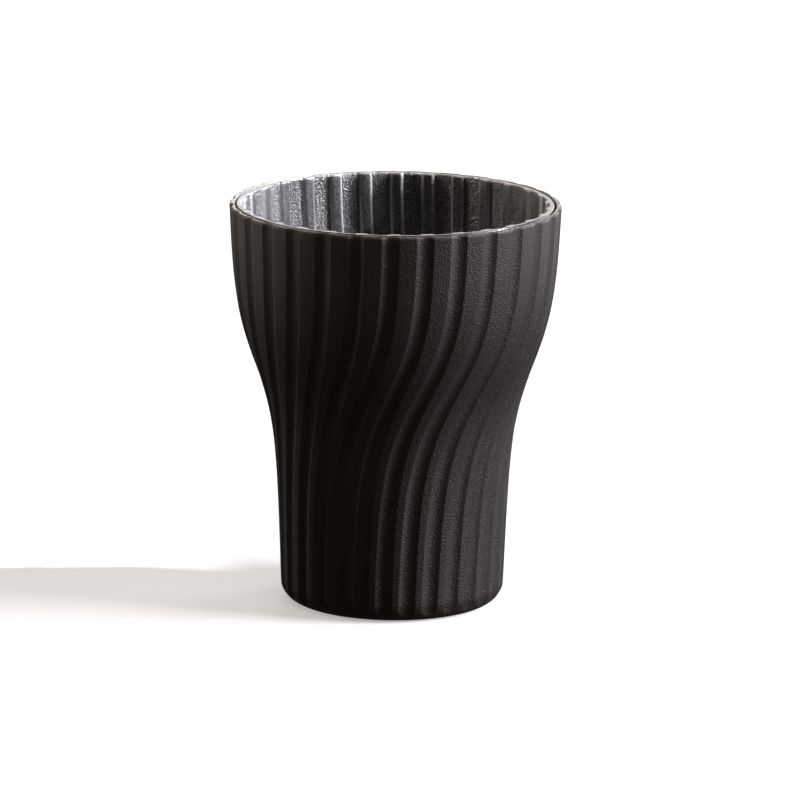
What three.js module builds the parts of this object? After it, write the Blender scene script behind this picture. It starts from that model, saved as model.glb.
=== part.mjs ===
// Empty twist-ribbed candle jar: a grooved outer shell and the lift-out liner that holds the wax.
// Millimetres, +Z up, the jar stands on Z = 0 with its axis on Z; the front faces -Y.
import * as THREE from 'three';

// ---- overall shape ----
const RIM_DIAMETER = 90;          // outside the mouth, over the plain lands
const HEIGHT = 110;               // table to the top of both lips
const FOOT_DIAMETER = 60.5;       // straight lower body, carried down to the table
const LOWER_TAPER = 0.0345;       // radius gained per mm of height before the flare
const FLARE_MIDDLE = 66.5;        // height where the shoulder opens fastest
const FLARE_SPREAD = 8.5;         // how softly it opens
const FOOT_ROUND = 5.5;           // outside corner radius at the base

// ---- walls and fits ----
const SHELL_WALL = 1.4;
const LINER_WALL = 1.6;
const WALL_GAP = 0.5;             // air between shell and liner all the way round
const SHELL_FLOOR = 3.5;          // table to the shell's inside floor
const SEAT_DEPTH = 1.0;           // shallow recess that centres the liner's foot
const SEAT_CLEARANCE = 0.25;      // radial play of that foot
const FOOT_INSET = 2.5;           // liner foot's edge to the liner's bottom corner
const LINER_FLOOR = 2.0;          // liner floor outside its foot
const SHELL_INNER_ROUND = 3;
const LINER_OUTER_ROUND = 4;
const LINER_INNER_ROUND = 4;
const LIP_OUTER_ROUND = 0.8;      // shell lip, outer edge
const LIP_ROUND = 0.5;            // the other three lip edges

// ---- grooves outside, matching ridges inside ----
const GROOVE_COUNT = 30;
const GROOVE_WIDTH = 4.6;
const GROOVE_DEPTH = 0.85;
const GROOVE_FLAT = 0.45;         // share of the width that is at full depth
const GROOVE_PHASE = -91.4;       // one groove's angle at the rim, degrees from +X
const LINER_TURN = 1.2;           // the loose liner sits turned this far from the grooves, degrees
const RIDGE_WIDTH = 4.4;
const RIDGE_HEIGHT = 0.85;
const RIDGE_FOOT_RUNOUT = 8;      // ridges reach the lip and fade out above the floor corner
const TWIST = 27.6;               // degrees a groove turns between foot and rim
const TWIST_MIDDLE = 58.8;        // height where the grooves lean most
const TWIST_SPREAD = 11;
const TWIST_SKEW = 0.06;          // the lower half straightens more slowly than the upper

// ---- facets ----
const SMOOTH_SIDES = 2 * GROOVE_COUNT;
const LEVELS = [0, 0.05, 0.14, 0.25, 0.35, 0.43, 0.5, 0.56, 0.62, 0.69, 0.77, 0.87]
  .map((share) => FOOT_ROUND + share * (HEIGHT - FOOT_ROUND));
const above = (z) => LEVELS.filter((level) => level > z + 1);

const rad = (degrees) => degrees * Math.PI / 180;
const logistic = (t) => 1 / (1 + Math.exp(-t));
const ease = (t) => { const c = Math.min(1, Math.max(0, t)); return c * c * (3 - 2 * c); };

// Outside radius over the lands at a height, corner at the base left out.
function bodyRadius(z) {
  const foot = FOOT_DIAMETER / 2;
  const flare = (RIM_DIAMETER / 2 - foot - LOWER_TAPER * HEIGHT)
    / logistic((HEIGHT - FLARE_MIDDLE) / FLARE_SPREAD);
  return foot + LOWER_TAPER * z + flare * logistic((z - FLARE_MIDDLE) / FLARE_SPREAD);
}

function twistAt(z) {
  const t = (z - TWIST_MIDDLE) / TWIST_SPREAD;
  return -TWIST * (1 - logistic(t + TWIST_SKEW * t * t));
}

// A ring of points that follows the grooves; relief is taken off the radius inside each groove.
function ribbedRing(radius, z, width, relief, guide = z, turned = 0) {
  const ring = [];
  const half = width / 2 / bodyRadius(guide) * 180 / Math.PI;
  for (let k = 0; k < GROOVE_COUNT; k++) {
    for (const u of [-1, -GROOVE_FLAT, GROOVE_FLAT, 1]) {
      const a = rad(GROOVE_PHASE + turned + twistAt(guide) + 360 * k / GROOVE_COUNT + u * half);
      const r = radius - (Math.abs(u) < 1 ? relief : 0);
      ring.push([r * Math.cos(a), r * Math.sin(a), z]);
    }
  }
  return ring;
}

function plainRing(radius, z) {
  const ring = [];
  for (let i = 0; i < SMOOTH_SIDES; i++) {
    const a = rad(GROOVE_PHASE + 360 * i / SMOOTH_SIDES);
    ring.push([radius * Math.cos(a), radius * Math.sin(a), z]);
  }
  return ring;
}

// Triangles between two closed rings; rings of unequal count are zipped by angle.
function strip(out, lower, upper, lowerAt, upperAt) {
  const n = lower.length, m = upper.length;
  const put = (a, b, c) => out.push(a, b, c);
  if (n === m) {
    for (let i = 0; i < n; i++) {
      const j = (i + 1) % n;
      put(lowerAt + i, lowerAt + j, upperAt + j);
      put(lowerAt + i, upperAt + j, upperAt + i);
    }
    return;
  }
  const turn = (p) => (Math.atan2(p[1], p[0]) - rad(GROOVE_PHASE - 180 / SMOOTH_SIDES) + 4 * Math.PI)
    % (2 * Math.PI);
  const order = (ring) => ring.map((p, i) => [turn(p), i]).sort((p, q) => p[0] - q[0]);
  const a = order(lower), b = order(upper);
  const angle = (list, i) => list[i % list.length][0] + (i >= list.length ? 2 * Math.PI : 0);
  let i = 0, j = 0;
  while (i < n || j < m) {
    const stepLower = j >= m || (i < n && angle(a, i + 1) <= angle(b, j + 1));
    const here = lowerAt + a[i % n][1], there = upperAt + b[j % m][1];
    if (stepLower) put(here, lowerAt + a[++i % n][1], there);
    else put(here, upperAt + b[++j % m][1], there);
  }
}

// One closed body: rings from the underside's centre, up the outside, over the lip, down to the floor.
function bodyFromRings(name, rings, bottomZ, floorZ, material) {
  const points = [[0, 0, bottomZ]], index = [], start = [];
  for (const ring of rings) { start.push(points.length); points.push(...ring); }
  const first = rings[0].length, last = rings[rings.length - 1].length;
  for (let i = 0; i < first; i++) index.push(0, start[0] + (i + 1) % first, start[0] + i);
  for (let k = 1; k < rings.length; k++) strip(index, rings[k - 1], rings[k], start[k - 1], start[k]);
  const top = points.length, from = start[start.length - 1];
  points.push([0, 0, floorZ]);
  for (let i = 0; i < last; i++) index.push(from + i, from + (i + 1) % last, top);
  const geometry = new THREE.BufferGeometry();
  geometry.setAttribute('position', new THREE.Float32BufferAttribute(points.flat(), 3));
  geometry.setIndex(index);
  geometry.computeVertexNormals();
  const mesh = new THREE.Mesh(geometry, material);
  mesh.name = name;
  return mesh;
}

// Points round a lip's upper edge: 0 to 90 degrees on its outer side, 90 to 180 on its inner side.
function edge(r, z, round, angles) {
  const middle = angles[0] < 90 ? r - round : r + round;
  return angles.map((t) => [middle + round * Math.cos(rad(t)), z - round + round * Math.sin(rad(t))]);
}

// Grooves run out just above the base corner.
const grooveFade = (z) => ease((z - 0.45 * FOOT_ROUND) / (0.75 * FOOT_ROUND));

// Heights and radii of the liner's outside, which the shell's seat follows.
const LINER = (() => {
  const underZ = SHELL_FLOOR + WALL_GAP, corner = underZ + LINER_OUTER_ROUND;
  const outside = (z) => bodyRadius(z) - SHELL_WALL - WALL_GAP;
  return { underZ, corner, outside, foot: outside(corner) - LINER_OUTER_ROUND - FOOT_INSET };
})();

// ---- outer shell: grooved outside, smooth inside, seat in its floor ----
function outerShell() {
  const rings = [];
  const wallAt = (z) => bodyRadius(z) - SHELL_WALL;
  for (const t of [0, 32, 60]) {
    const z = FOOT_ROUND * (1 - Math.cos(rad(t)));
    const r = bodyRadius(FOOT_ROUND) - FOOT_ROUND * (1 - Math.sin(rad(t)));
    rings.push(ribbedRing(r, z, GROOVE_WIDTH, GROOVE_DEPTH * grooveFade(z), FOOT_ROUND));
  }
  for (const z of LEVELS) {
    rings.push(ribbedRing(bodyRadius(z), z, GROOVE_WIDTH, GROOVE_DEPTH * grooveFade(z)));
  }
  const rim = bodyRadius(HEIGHT), mouth = wallAt(HEIGHT);
  for (const [r, z] of edge(rim, HEIGHT, LIP_OUTER_ROUND, [0, 45, 90])) {
    rings.push(ribbedRing(r, z, GROOVE_WIDTH, GROOVE_DEPTH * (r - mouth) / SHELL_WALL, HEIGHT));
  }
  for (const [r, z] of edge(mouth, HEIGHT, LIP_ROUND, [90, 135, 180])) rings.push(plainRing(r, z));
  const floorCorner = SHELL_FLOOR + SHELL_INNER_ROUND;
  for (const z of above(floorCorner).reverse()) rings.push(plainRing(wallAt(z), z));
  for (const t of [90, 45, 0]) {
    rings.push(plainRing(wallAt(floorCorner) - SHELL_INNER_ROUND * (1 - Math.sin(rad(t))),
      floorCorner - SHELL_INNER_ROUND * Math.cos(rad(t))));
  }
  const seat = LINER.foot + SEAT_CLEARANCE, seatZ = SHELL_FLOOR - SEAT_DEPTH;
  rings.push(plainRing(seat, SHELL_FLOOR), plainRing(seat, seatZ));
  const black = new THREE.MeshStandardMaterial({ color: 0x17161a, roughness: 0.62, metalness: 0 });
  return bodyFromRings('outer_shell', rings, 0, seatZ, black);
}

// ---- inner liner: smooth outside, ridged inside, stands in the shell's seat ----
function innerLiner() {
  const rings = [];
  const { underZ, corner, outside, foot } = LINER;
  const footZ = SHELL_FLOOR - SEAT_DEPTH;
  const inside = (z) => outside(z) - LINER_WALL;
  rings.push(plainRing(foot, footZ), plainRing(foot, underZ));
  for (const t of [0, 45, 90]) {
    rings.push(plainRing(outside(corner) - LINER_OUTER_ROUND * (1 - Math.sin(rad(t))),
      corner - LINER_OUTER_ROUND * Math.cos(rad(t))));
  }
  for (const z of above(corner)) rings.push(plainRing(outside(z), z));
  for (const [r, z] of edge(outside(HEIGHT), HEIGHT, LIP_ROUND, [0, 45, 90])) rings.push(plainRing(r, z));
  for (const [r, z] of edge(inside(HEIGHT), HEIGHT, LIP_ROUND, [90, 135, 180])) {
    rings.push(ribbedRing(r, z, RIDGE_WIDTH, RIDGE_HEIGHT, HEIGHT, LINER_TURN));
  }
  const floorZ = underZ + LINER_FLOOR, inner = floorZ + LINER_INNER_ROUND;
  for (const z of above(inner).reverse()) {
    const ridge = RIDGE_HEIGHT * ease((z - inner) / RIDGE_FOOT_RUNOUT);
    rings.push(ribbedRing(inside(z), z, RIDGE_WIDTH, ridge, z, LINER_TURN));
  }
  for (const t of [90, 45, 0]) {
    rings.push(ribbedRing(inside(inner) - LINER_INNER_ROUND * (1 - Math.sin(rad(t))),
      inner - LINER_INNER_ROUND * Math.cos(rad(t)), RIDGE_WIDTH, 0, inner, LINER_TURN));
  }
  const satin = new THREE.MeshStandardMaterial({ color: 0x26262b, roughness: 0.3, metalness: 0.2 });
  return bodyFromRings('inner_liner', rings, footZ, floorZ, satin);
}

const group = new THREE.Group();
group.name = 'empty_candle_jar';
group.add(outerShell(), innerLiner());

export default group;
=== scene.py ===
import math

import bpy
import numpy as np
from mathutils import Matrix, Vector


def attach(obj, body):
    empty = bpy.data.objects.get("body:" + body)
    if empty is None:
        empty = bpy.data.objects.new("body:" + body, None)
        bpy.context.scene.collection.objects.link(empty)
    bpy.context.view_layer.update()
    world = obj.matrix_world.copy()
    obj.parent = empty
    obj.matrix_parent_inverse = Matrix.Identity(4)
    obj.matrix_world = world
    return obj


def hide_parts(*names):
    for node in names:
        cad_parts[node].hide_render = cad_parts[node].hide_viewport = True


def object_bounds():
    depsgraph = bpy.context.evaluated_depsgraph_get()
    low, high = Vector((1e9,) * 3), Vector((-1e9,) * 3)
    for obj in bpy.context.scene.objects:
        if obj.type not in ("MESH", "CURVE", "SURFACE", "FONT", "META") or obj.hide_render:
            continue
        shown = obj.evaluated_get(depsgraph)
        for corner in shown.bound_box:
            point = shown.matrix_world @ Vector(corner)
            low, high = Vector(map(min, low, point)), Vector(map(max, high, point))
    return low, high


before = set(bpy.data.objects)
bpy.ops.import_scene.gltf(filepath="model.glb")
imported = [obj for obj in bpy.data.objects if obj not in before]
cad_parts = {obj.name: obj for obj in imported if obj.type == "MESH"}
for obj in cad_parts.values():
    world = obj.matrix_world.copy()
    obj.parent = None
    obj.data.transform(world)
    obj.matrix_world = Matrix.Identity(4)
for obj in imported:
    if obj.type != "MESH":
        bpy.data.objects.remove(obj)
cad_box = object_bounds()
MM = 0.001

# ---------------------------------------------------------------------------------------------
# Camera: a long lens two metres off, about thirteen degrees above the rim, held a touch off level.
low_corner, high_corner = cad_box
jar_height = high_corner[2] - low_corner[2]
lens_tilt, lens_roll, lens_distance = math.radians(13.07), math.radians(0.595), 2.201
aim_right, aim_up = 1.72 * MM, 0.32 * MM
looking = Vector((0, math.cos(lens_tilt), -math.sin(lens_tilt)))
level = Vector((1, 0, 0))
upright = level.cross(looking)
side = level * math.cos(lens_roll) + upright * math.sin(lens_roll)
up = upright * math.cos(lens_roll) - level * math.sin(lens_roll)
centre = Vector((0, 0, jar_height / 2)) + level * aim_right + upright * aim_up
camera = bpy.data.objects.new("camera", bpy.data.cameras.new("camera"))
bpy.context.scene.collection.objects.link(camera)
camera.data.sensor_width = 36
camera.data.lens = 363.8
camera.data.clip_end = 20
camera.matrix_world = Matrix.Translation(centre - looking * lens_distance) @ Matrix(
    (side, up, -looking)).transposed().to_4x4()
bpy.context.scene.camera = camera
bpy.context.scene.view_settings.view_transform = "Standard"

# ---------------------------------------------------------------------------------------------
# Outer shell: a matte black moulded tumbler. Thirty concave flutes run from the lip down, lean
# over in the waist and die out above the rounded foot. Inside it is smooth, with a round seat
# in the floor for the liner. It is moulded in one piece and sprayed with a fine-grained coat.
rim_radius, foot_radius, lower_taper = 45 * MM, 30.25 * MM, 0.0345
flare_middle, flare_spread = 66.5 * MM, 8.5 * MM
foot_round, shell_wall, shell_floor, shell_round = 5.5 * MM, 1.4 * MM, 3.5 * MM, 3 * MM
seat_depth, seat_radius, chamfer = 1.0 * MM, 22.39 * MM, 0.2 * MM
flutes, flute_width, flute_depth, flute_start = 30, 4.6 * MM, 0.85 * MM, math.radians(-91.4)
flute_end = 1.7 * MM
turn, turn_middle, turn_spread, turn_skew = math.radians(27.6), 58.8 * MM, 11 * MM, 0.06
lip_outer_round, lip_round = 0.8 * MM, 0.5 * MM


def logistic(t):
    return 1 / (1 + np.exp(-t))


def ease(t):
    c = np.clip(t, 0, 1)
    return c * c * (3 - 2 * c)


def body_radius(z):
    """Outside radius of the jar over the plain lands, at a height."""
    flare = (rim_radius - foot_radius - lower_taper * jar_height) / logistic(
        (jar_height - flare_middle) / flare_spread)
    return foot_radius + lower_taper * z + flare * logistic((z - flare_middle) / flare_spread)


def arc(x, z, radius, start, end, steps):
    """Points of a rounded corner in the profile plane, angles in degrees from +X."""
    return [(x + radius * math.cos(math.radians(a)), z + radius * math.sin(math.radians(a)))
            for a in np.linspace(start, end, steps)]


# Sixteen columns to a flute: twelve over the hollow and its shoulders, four on the land. The
# twelve stand at these shares of half a flute's width.
across = np.array([-1.07, -1.0, -0.9, -0.68, -0.42, -0.14, 0.14, 0.42, 0.68, 0.9, 1.0, 1.07])
last = len(across) - 1
flute_columns = len(across) + 4
columns = flutes * flute_columns
on_land = 2.0


def turned(name, profile):
    """Draws the profile point by point with extrude, then spins it into a closed body."""
    bpy.ops.object.select_all(action="DESELECT")
    bpy.ops.mesh.primitive_plane_add(size=MM, location=(profile[0][0], 0, profile[0][1]))
    piece = bpy.context.object
    piece.name = piece.data.name = name
    bpy.ops.object.transform_apply(location=True)
    bpy.ops.object.mode_set(mode="EDIT")
    bpy.ops.mesh.select_all(action="SELECT")
    bpy.ops.mesh.merge(type="CENTER")
    for (x0, z0), (x1, z1) in zip(profile, profile[1:]):
        bpy.ops.mesh.extrude_region_move(TRANSFORM_OT_translate={"value": (x1 - x0, 0, z1 - z0)})
    bpy.ops.mesh.select_all(action="SELECT")
    bpy.ops.mesh.spin(steps=columns, angle=2 * math.pi, center=(0, 0, 0), axis=(0, 0, 1))
    bpy.ops.mesh.select_all(action="SELECT")
    bpy.ops.mesh.remove_doubles(threshold=1e-7)
    bpy.ops.mesh.normals_make_consistent(inside=False)
    bpy.ops.object.mode_set(mode="OBJECT")
    bpy.ops.object.shade_smooth()
    return piece


def paint(piece, name, values):
    """Keeps a number for each vertex, which the piece's material reads by name."""
    layer = piece.data.attributes.new(name, "FLOAT", "POINT")
    layer.data.foreach_set("value", values.astype(np.float32))


def wind(piece, width, start, shape):
    """Moves the spun columns on to the leaning flutes and presses shape(cross, r, z) inwards.

    Paints the lip, and gives back each vertex's radius and height and how far it was pressed.
    """
    mesh = piece.data
    co = np.empty(len(mesh.vertices) * 3, dtype=np.float32)
    mesh.vertices.foreach_get("co", co)
    co = co.reshape(-1, 3).astype(np.float64)
    radius, z = np.hypot(co[:, 0], co[:, 1]), co[:, 2]
    round_trip = np.arctan2(co[:, 1], co[:, 0]) / (2 * math.pi)
    column = np.rint(round_trip * columns).astype(int) % columns
    flute, place = column // flute_columns, column % flute_columns
    half = width / 2 / body_radius(np.maximum(z, foot_round))
    pitch = 2 * math.pi / flutes
    land = (place - last) / (flute_columns - last)
    shoulder = across[-1] * half
    cross = np.where(place <= last, across[np.minimum(place, last)], on_land)
    offset = np.where(place <= last, cross * half, shoulder + land * (pitch - 2 * shoulder))
    lean = (z - turn_middle) / turn_spread
    lean = turn * (1 - logistic(lean + turn_skew * lean * lean))
    angle = start + flute * pitch + offset - lean
    pressed = shape(cross, radius, z)
    radius = radius - pressed
    co[:, 0], co[:, 1] = radius * np.cos(angle), radius * np.sin(angle)
    mesh.vertices.foreach_set("co", co.astype(np.float32).ravel())
    mesh.update()
    lip_foot, lip_fade = 0.4 * MM, 0.25 * MM
    paint(piece, "lip", np.clip((z - jar_height + lip_foot) / lip_fade, 0, 1))
    return radius, z, pressed


outer_heights = np.linspace(foot_round, jar_height - lip_outer_round, 136)[1:-1]
inner_heights = np.linspace(jar_height - lip_round, shell_floor + shell_round, 26)[1:-1]
corner_x = float(body_radius(foot_round)) - foot_round
inner_x = float(body_radius(shell_floor + shell_round)) - shell_wall - shell_round
seat_z = shell_floor - seat_depth
shell_profile = (
    [(0, 0), (corner_x * 0.5, 0), (corner_x * 0.92, 0)]
    + arc(corner_x, foot_round, foot_round, -90, 0, 20)
    + [(float(body_radius(h)), h) for h in outer_heights]
    + arc(rim_radius - lip_outer_round, jar_height - lip_outer_round, lip_outer_round, 0, 90, 7)
    + arc(rim_radius - shell_wall + lip_round, jar_height - lip_round, lip_round, 90, 180, 5)
    + [(float(body_radius(h)) - shell_wall, h) for h in inner_heights]
    + arc(inner_x, shell_floor + shell_round, shell_round, 0, -90, 7)
    + [(seat_radius + chamfer, shell_floor), (seat_radius, shell_floor - chamfer),
       (seat_radius, seat_z), (seat_radius * 0.5, seat_z), (0, seat_z)])


def shell_flutes(cross, radius, z):
    run = np.clip((z - flute_end) / (flute_width / 2), 0, 1) - 1
    hollow = np.clip(1 - cross ** 2 - run ** 2, 0, 1)
    lip = z > jar_height - lip_outer_round
    through = np.clip((radius - rim_radius + shell_wall) / shell_wall, 0, 1)
    outer = np.where(lip, through, (z < foot_round) | (radius > body_radius(z) - 0.5 * shell_wall))
    return flute_depth * hollow * outer * (z > 0.1 * MM)


shell = turned("shell", shell_profile)
wind(shell, flute_width, flute_start, shell_flutes)


class Wire:
    """One socket of a material, so that sums and products of values read as sums."""

    def __init__(self, tree, socket):
        self.tree, self.socket = tree, socket

    def maths(self, kind, other, swap=False):
        node = self.tree.nodes.new("ShaderNodeMath")
        node.operation = kind
        for place, value in enumerate((other, self) if swap else (self, other)):
            if isinstance(value, Wire):
                self.tree.links.new(value.socket, node.inputs[place])
            else:
                node.inputs[place].default_value = value
        return Wire(self.tree, node.outputs[0])

    def __add__(self, other):
        return self.maths("ADD", other)

    def __mul__(self, other):
        return self.maths("MULTIPLY", other)

    def __sub__(self, other):
        return self.maths("SUBTRACT", other)

    def __rsub__(self, other):
        return self.maths("SUBTRACT", other, swap=True)

    __radd__, __rmul__ = __add__, __mul__


class Finish:
    """A new material whose nodes are made one line at a time."""

    def __init__(self, name, **settings):
        self.material = bpy.data.materials.new(name)
        self.material.use_nodes = True
        self.tree = self.material.node_tree
        self.shader = self.tree.nodes["Principled BSDF"]
        self.set(self.shader, settings)

    def set(self, node, values):
        for key, value in values.items():
            socket = node.inputs[key.replace("_", " ")]
            if isinstance(value, Wire):
                self.tree.links.new(value.socket, socket)
            else:
                socket.default_value = value

    def node(self, kind, output=0, settings=None, stops=None, **values):
        node = self.tree.nodes.new("ShaderNode" + kind)
        for key, value in (settings or {}).items():
            setattr(node, key, value)
        for place, (at, colour) in enumerate(stops or []):
            node.color_ramp.elements[place].position = at
            node.color_ramp.elements[place].color = colour
        self.set(node, values)
        return Wire(self.tree, node.outputs[output])

    def painted(self, name):
        return self.node("Attribute", output="Fac", settings={"attribute_name": name})


# The coat: a fine pebbly grain over slow cloudy patches, and a little gloss where the lip is handled.
coat = Finish("matte_black_coat", Specular_IOR_Level=0.4, Coat_Roughness=0.22)
at = coat.node("TexCoord", output="Object")
grain = coat.node("TexNoise", Vector=at, Scale=2400.0, Detail=1.0, Roughness=0.5)
cloud = coat.node("TexNoise", Vector=at, Scale=45.0, Detail=4.0, Roughness=0.55)
black = coat.node("ValToRGB", Fac=cloud * 0.6 + grain * 0.4,
                  stops=[(0.3, (0.0115, 0.0088, 0.0072, 1)), (0.7, (0.019, 0.0152, 0.0128, 1))])
pebbles = coat.node("Bump", Strength=0.8, Distance=0.00034, Height=grain)
coat.set(coat.shader, {"Base Color": black, "Normal": pebbles,
                       "Roughness": cloud * 0.10 + grain * 0.16 + 0.40,
                       "Coat Weight": coat.painted("lip") * 0.22})
shell.data.materials.append(coat.material)
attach(shell, "shell")
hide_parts("outer_shell")

# ---------------------------------------------------------------------------------------------
# Inner liner: the cup the wax is poured into, pressed from opaque black glass. Its outside is
# plain and smooth, so it slides straight out of the shell. Its inside carries flat-topped ridges
# beside the flutes and a satin metallic plating. A round foot under it sits in the seat.
wall_gap, liner_wall, liner_floor = 0.5 * MM, 1.6 * MM, 2.0 * MM
foot_inset, outer_round, inner_round = 2.5 * MM, 4 * MM, 4 * MM
ridge_width, ridge_height, ridge_foot, ridge_flank = 4.4 * MM, 0.85 * MM, 8 * MM, 0.42
liner_turn = math.radians(1.2)
under = shell_floor + wall_gap
bend = under + outer_round


def liner_outside(z):
    return float(body_radius(z)) - shell_wall - wall_gap


liner_foot = liner_outside(bend) - outer_round - foot_inset
cup_floor = under + liner_floor
cup_bend = cup_floor + inner_round
cup_x = liner_outside(cup_bend) - liner_wall - inner_round
lip_z = jar_height - lip_round
mouth_radius = liner_outside(jar_height) - liner_wall
liner_profile = (
    [(0, seat_z), (liner_foot * 0.5, seat_z), (liner_foot - chamfer, seat_z),
     (liner_foot, seat_z + chamfer), (liner_foot, under)]
    + arc(liner_outside(bend) - outer_round, bend, outer_round, -90, 0, 8)
    + [(liner_outside(h), h) for h in np.linspace(bend, lip_z, 26)[1:-1]]
    + arc(liner_outside(jar_height) - lip_round, lip_z, lip_round, 0, 90, 5)
    + arc(mouth_radius + lip_round, lip_z, lip_round, 90, 180, 5)
    + [(liner_outside(h) - liner_wall, h) for h in np.linspace(lip_z, cup_bend, 144)[1:-1]]
    + arc(cup_x, cup_bend, inner_round, 0, -90, 9)
    + [(cup_x * 0.6, cup_floor), (0, cup_floor)])


def liner_ridges(cross, radius, z):
    crest = ease((1 - np.abs(cross)) / ridge_flank)
    run = ease((z - cup_bend) / ridge_foot)
    cup = (radius < body_radius(z) - shell_wall - wall_gap - 0.6 * liner_wall) & (z > cup_floor)
    return ridge_height * crest * run * cup


liner = turned("liner", liner_profile)
radius, z, pressed = wind(liner, ridge_width, flute_start + liner_turn, liner_ridges)
plating_edge = shell_wall + wall_gap + 0.3 * liner_wall
paint(liner, "relief", pressed / pressed.max())
paint(liner, "plated", (body_radius(z) - radius > plating_edge) & (z > cup_floor - 0.1 * MM))

# The plating: a sparkling satin metal, rubbed smooth on the ridges. Along the ridge flanks its colour
# holds a painted highlight, a light grey that stands in for light catching them. Where there is none,
# the bare glass is near black and smooth.
satin = Finish("satin_black_glass", Coat_Roughness=0.22)
at = satin.node("TexCoord", output="Object")
sparkle = satin.node("TexNoise", Vector=at, Scale=2300.0, Detail=1.0, Roughness=0.6)
streak = satin.node("TexNoise", Vector=at, Scale=60.0, Detail=4.0, Roughness=0.5)
ridge, plating, lip = satin.painted("relief"), satin.painted("plated"), satin.painted("lip")
metal = satin.node("ValToRGB", Fac=streak * 0.25 + sparkle * 0.75,
                   stops=[(0.35, (0.014, 0.014, 0.0155, 1)), (0.65, (0.068, 0.068, 0.073, 1))])
# Painted highlight: the base colour turns light grey along both flanks of every ridge, away from the
# lip.
flank = ridge * (1 - ridge) * 4.0 * (1 - lip)
metal_with_painted_highlight = satin.node("MixRGB", Fac=flank * 0.85, Color1=metal, Color2=(0.21, 0.21, 0.21, 1))
glass = satin.node("MixRGB", Fac=plating, Color1=(0.004, 0.004, 0.004, 1), Color2=metal_with_painted_highlight)
smooth = (ridge * 5.0).maths("MINIMUM", 1.0)
grit = satin.node("Bump", Strength=0.8, Distance=0.0007,
                  Height=sparkle * (1 - smooth * 0.7) * (plating * 0.94 + 0.06))
satin.set(satin.shader, {"Base Color": glass, "Metallic": plating * 0.95, "Normal": grit,
                         "Roughness": sparkle * 0.12 + streak * 0.08 + plating * 0.22 + 0.16,
                         "Coat Weight": lip * 0.2})
liner.data.materials.append(satin.material)
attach(liner, "liner")
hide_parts("inner_liner")

# ---------------------------------------------------------------------------------------------
# Studio: a plain pale floor, soft boxes to the right and behind, a weak warm fill in front and
# narrow beams into the mouth from both sides.
bpy.ops.object.select_all(action="DESELECT")
bpy.ops.mesh.primitive_plane_add(size=8, location=(0, 0, 0))
floor = bpy.context.object
floor.name = "floor"
pale = Finish("pale_floor", Base_Color=(0.86, 0.86, 0.86, 1), Roughness=0.9,
              Emission_Color=(1, 1, 1, 1), Emission_Strength=0.4)
floor.data.materials.append(pale.material)
floor.visible_diffuse = floor.visible_glossy = False

cool, cooler, white = (0.96, 0.94, 1.0), (0.95, 0.92, 1.0), (1, 1, 1)
blush, warm, warmer = (1.0, 0.96, 0.95), (1.0, 0.87, 0.76), (1.0, 0.8, 0.62)


def softbox(name, azimuth, elevation, distance, size, power, colour, aim=(0, 0, 0.055), spread=180):
    """An area light facing its aim; azimuth from the front towards the right, in degrees."""
    data = bpy.data.lights.new(name, "AREA")
    data.shape, (data.size, data.size_y) = "RECTANGLE", size
    data.energy, data.color, data.spread = power, colour, math.radians(spread)
    lamp = bpy.data.objects.new(name, data)
    bpy.context.scene.collection.objects.link(lamp)
    a, e = math.radians(azimuth), math.radians(elevation)
    place = Vector((math.sin(a) * math.cos(e), -math.cos(a) * math.cos(e), math.sin(e))) * distance
    lamp.location = place + Vector(aim)
    lamp.rotation_euler = (-place).to_track_quat("-Z", "Y").to_euler()


softbox("right_box", 80, 20, 1.2, size=(0.5, 0.7), power=26, colour=cooler)
softbox("right_back_box", 135, 9, 1.2, size=(0.5, 0.36), power=7.5, colour=cool)
softbox("left_back_box", -128, 7, 1.2, size=(0.3, 0.28), power=2.2, colour=(1.0, 0.86, 0.74))
softbox("left_beam", -92, 3, 0.5, size=(0.08, 0.08), power=0.014, colour=warm,
        aim=(0, 0, 0.13), spread=18)
softbox("mouth_beam_right", 98, 44, 0.45, size=(0.08, 0.06), power=0.28, colour=white,
        aim=(-0.034, 0.01, 0.1), spread=10)
softbox("mouth_beam_left", -102, 44, 0.45, size=(0.08, 0.06), power=0.038, colour=(1.0, 0.88, 0.74),
        aim=(0.03, 0.01, 0.1), spread=11)
softbox("back_panel", 180, 15, 1.6, size=(1.1, 0.4), power=8, colour=blush)
softbox("front_fill", 0, 50, 0.42, size=(0.3, 0.2), power=0.36, colour=warmer)
world = bpy.data.worlds.new("room")
bpy.context.scene.world = world
world.use_nodes = True
background = world.node_tree.nodes["Background"]
background.inputs["Color"].default_value = (1.0, 0.84, 0.7, 1)
background.inputs["Strength"].default_value = 0.06
